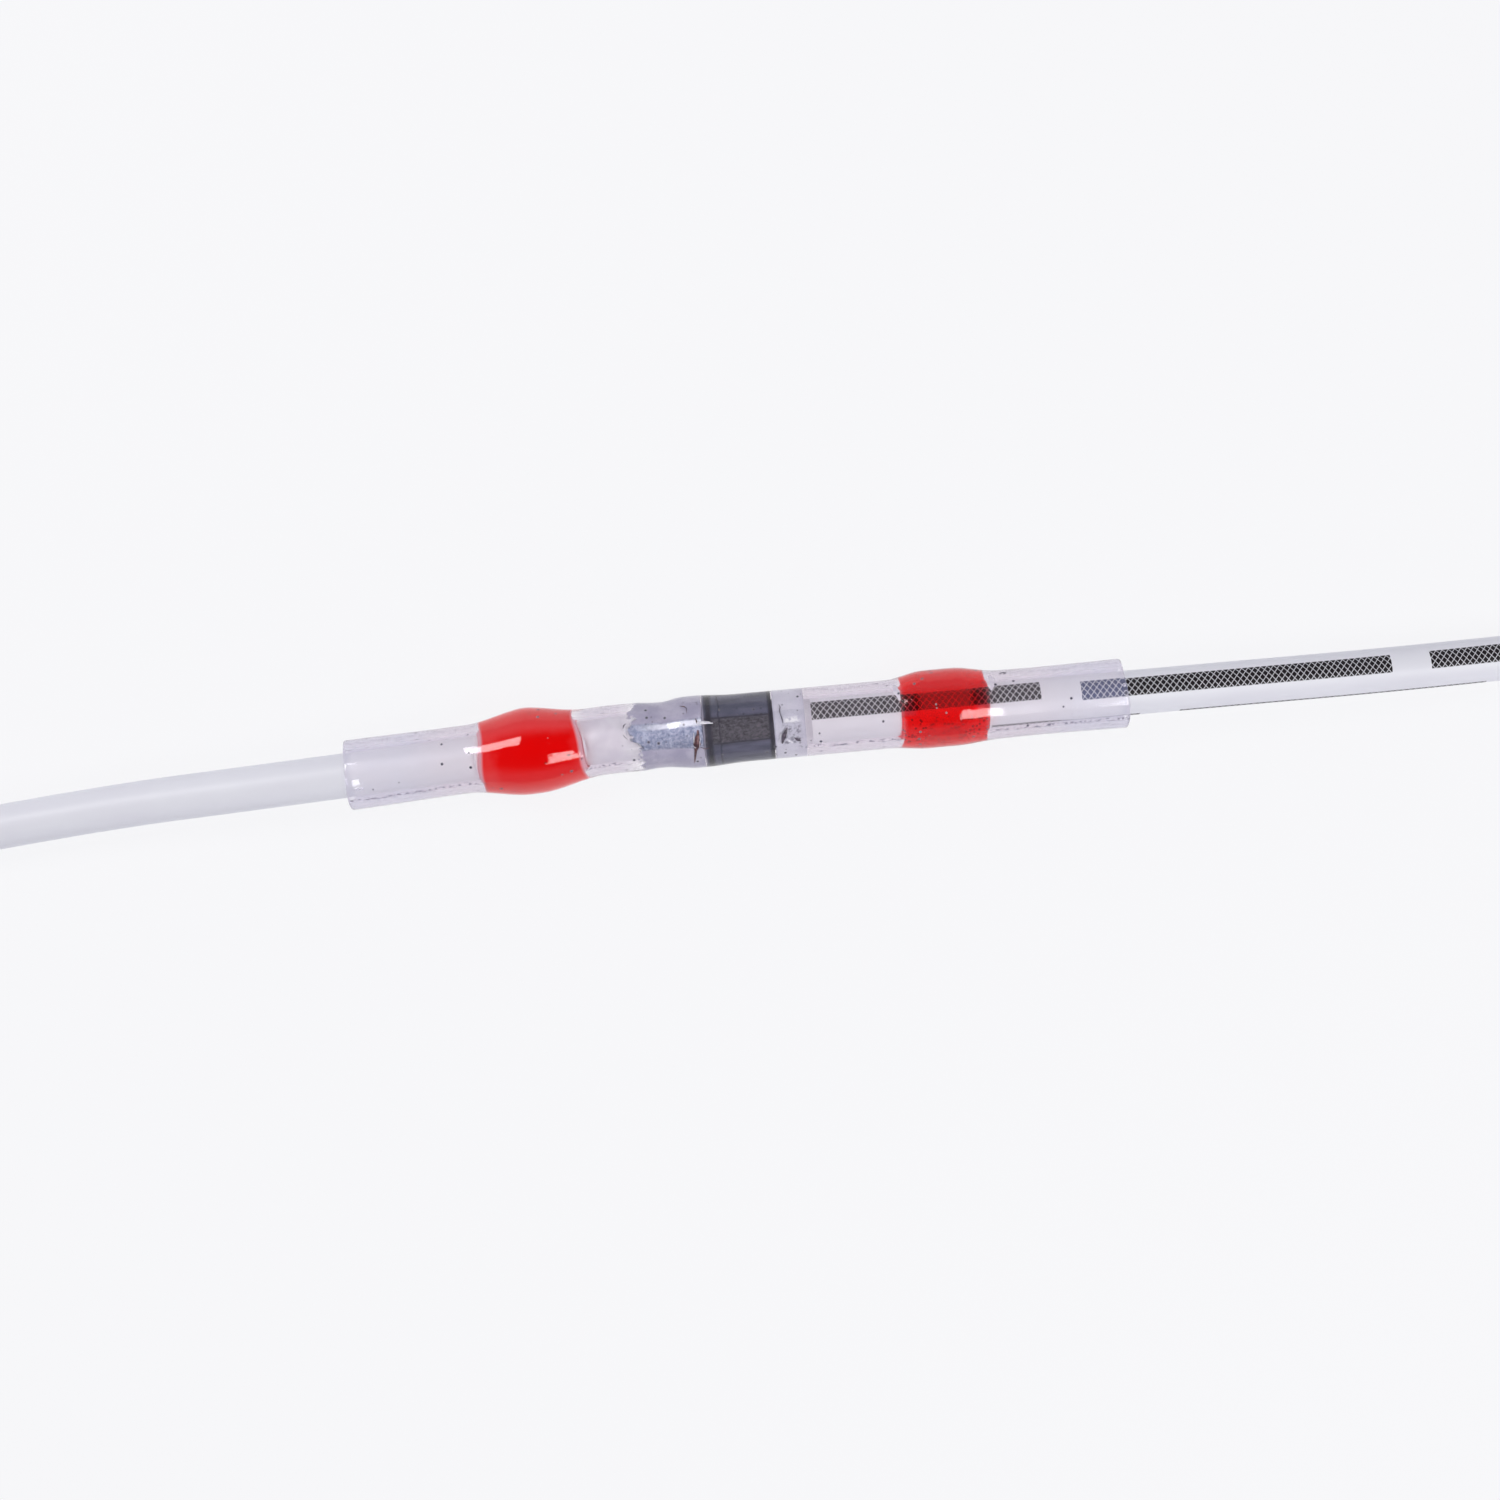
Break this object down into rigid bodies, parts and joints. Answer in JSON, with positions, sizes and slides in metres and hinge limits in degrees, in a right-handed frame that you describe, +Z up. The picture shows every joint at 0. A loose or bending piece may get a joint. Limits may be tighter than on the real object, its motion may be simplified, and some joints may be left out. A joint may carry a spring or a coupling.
{
  "type": "solder seal wire connector",
  "caption": "Clear heat-shrink sleeve with red seal rings and a melted solder ring, shrunk over two insulated leads spliced end to end.",
  "frame": {"origin": "on the floor, under the middle of the sleeve", "axes": "+X along the sleeve, +Z up, with the sleeve lying on its larger swell"},
  "size_m": [0.1041, 0.0056, 0.0045],
  "materials": {
    "sleeve": "clear, slightly milky heat-shrink plastic",
    "seal": "melted red hot-melt adhesive",
    "solder_band": "dull grey solder ring with a skin of flux",
    "solder": "bright melted solder with crumbs and cracks",
    "insulation": "satin white insulation with a dashed marking stripe",
    "strand": "tinned copper strand"
  },
  "bodies": {
    "root": {"heat_shrink_sleeve": "sleeve", "left_seal_ring": "seal", "right_seal_ring": "seal", "solder_ring": "solder_band", "solder_fill": "solder", "left_wire": "insulation", "right_wire": "insulation", "left_strand_1": "strand", "left_strand_2": "strand", "left_strand_3": "strand", "left_strand_4": "strand", "left_strand_5": "strand", "left_strand_6": "strand", "left_strand_7": "strand", "right_strand_1": "strand", "right_strand_2": "strand", "right_strand_3": "strand", "right_strand_4": "strand", "right_strand_5": "strand", "right_strand_6": "strand", "right_strand_7": "strand"}
  },
  "joints": []
}
